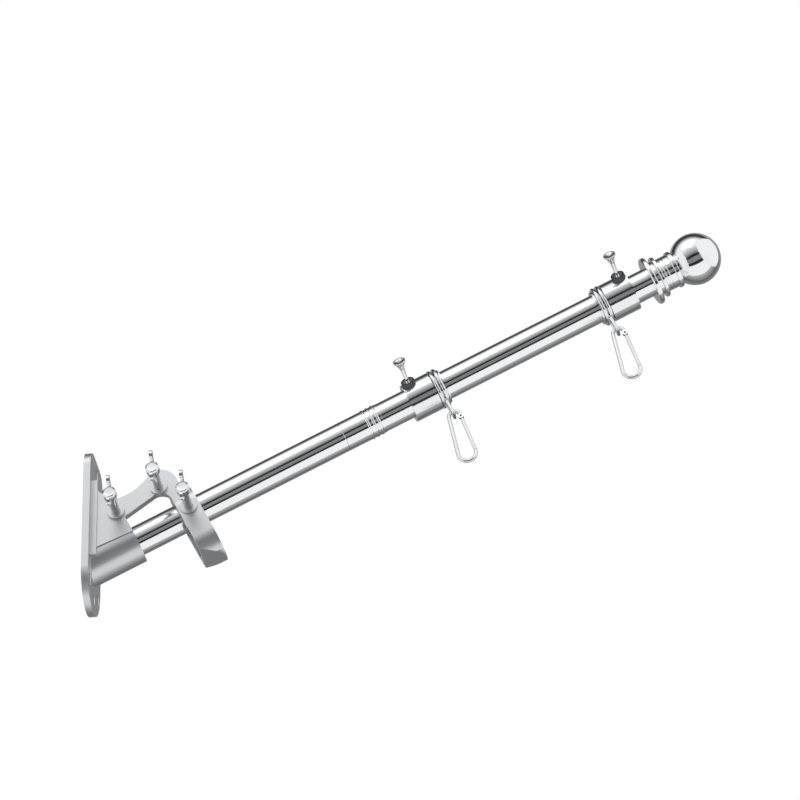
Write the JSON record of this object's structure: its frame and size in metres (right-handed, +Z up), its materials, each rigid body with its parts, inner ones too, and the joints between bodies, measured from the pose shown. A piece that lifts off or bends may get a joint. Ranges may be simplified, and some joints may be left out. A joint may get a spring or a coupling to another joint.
{
  "type": "wall flagpole",
  "caption": "Slanted wall flagpole: cast wall bracket with socket and hoop, polished two-section tube, sliding collars with swivel rings and snap clips, ball finial.",
  "frame": {"origin": "on the wall plate's back face, where the pole's axis meets the wall", "axes": "+X straight out from the wall, +Z up, the pole lies in the XZ plane and rises towards +X"},
  "size_m": [0.5464, 0.0915, 0.3287],
  "materials": {
    "cast": "satin cast",
    "polished": "polished",
    "collar": "polished",
    "bright": "bright plated",
    "rivet": "plain"
  },
  "bodies": {
    "pole": {"wall_bracket": "cast", "lower_tube": "polished", "tube_ferrule": "polished", "upper_tube": "polished", "finial_base": "polished", "finial_ball": "polished"},
    "wing_screw_1": {"wing_screw_1": "bright"},
    "wing_screw_2": {"wing_screw_2": "bright"},
    "wing_screw_3": {"wing_screw_3": "bright"},
    "lower_collar": {"lower_collar": "collar"},
    "lower_thumb_screw": {"lower_thumb_screw": "bright"},
    "lower_swivel_ring": {"lower_swivel_ring": "bright"},
    "lower_clip": {"lower_clip": "bright", "lower_gate_rivet": "rivet"},
    "lower_clip_gate": {"lower_clip_gate": "bright"},
    "upper_collar": {"upper_collar": "collar"},
    "upper_thumb_screw": {"upper_thumb_screw": "bright"},
    "upper_swivel_ring": {"upper_swivel_ring": "bright"},
    "upper_clip": {"upper_clip": "bright", "upper_gate_rivet": "rivet"},
    "upper_clip_gate": {"upper_clip_gate": "bright"}
  },
  "joints": [
    {"name": "wing_screw_1_turn", "type": "hinge", "parent": "pole", "child": "wing_screw_1", "pos_m": [0.02737, -0.02, 0.04013], "axis": [0, -1, 0], "continuous": true},
    {"name": "wing_screw_2_turn", "type": "hinge", "parent": "pole", "child": "wing_screw_2", "pos_m": [0.06371, -0.02, 0.06137], "axis": [0, -1, 0], "continuous": true},
    {"name": "wing_screw_3_turn", "type": "hinge", "parent": "pole", "child": "wing_screw_3", "pos_m": [0.08994, -0.02, 0.04037], "axis": [0, -1, 0], "continuous": true},
    {"name": "lower_collar_slide", "type": "slide", "parent": "pole", "child": "lower_collar", "axis": [0.8949, 0, 0.4462], "range_m": [-0.02, 0.06]},
    {"name": "lower_thumb_turn", "type": "hinge", "parent": "lower_collar", "child": "lower_thumb_screw", "pos_m": [0.28155, 0, 0.14037], "axis": [-0.2231, -0.866, 0.4475], "continuous": true},
    {"name": "lower_ring_swivel", "type": "hinge", "parent": "lower_collar", "child": "lower_swivel_ring", "pos_m": [0.30137, 0, 0.15026], "axis": [0.8949, 0, 0.4462], "continuous": true},
    {"name": "lower_clip_swing", "type": "hinge", "parent": "lower_swivel_ring", "child": "lower_clip", "pos_m": [0.31476, 0, 0.12341], "axis": [0, 1, 0], "range_deg": [-60, 60]},
    {"name": "lower_gate_open", "type": "hinge", "parent": "lower_clip", "child": "lower_clip_gate", "pos_m": [0.32059, 0, 0.12166], "axis": [0, 1, 0], "range_deg": [0, 12], "stiffness_Nm_per_rad": 0.05, "springref_deg": -11.46},
    {"name": "upper_collar_slide", "type": "slide", "parent": "pole", "child": "upper_collar", "axis": [0.8949, 0, 0.4462], "range_m": [-0.06, 0.01]},
    {"name": "upper_thumb_turn", "type": "hinge", "parent": "upper_collar", "child": "upper_thumb_screw", "pos_m": [0.46304, 0, 0.23086], "axis": [-0.2231, -0.866, 0.4475], "continuous": true},
    {"name": "upper_ring_swivel", "type": "hinge", "parent": "upper_collar", "child": "upper_swivel_ring", "pos_m": [0.44322, 0, 0.22098], "axis": [0.8949, 0, 0.4462], "continuous": true},
    {"name": "upper_clip_swing", "type": "hinge", "parent": "upper_swivel_ring", "child": "upper_clip", "pos_m": [0.4566, 0, 0.19413], "axis": [0, 1, 0], "range_deg": [-60, 60]},
    {"name": "upper_gate_open", "type": "hinge", "parent": "upper_clip", "child": "upper_clip_gate", "pos_m": [0.46244, 0, 0.19238], "axis": [0, 1, 0], "range_deg": [0, 12], "stiffness_Nm_per_rad": 0.05, "springref_deg": -11.46}
  ]
}
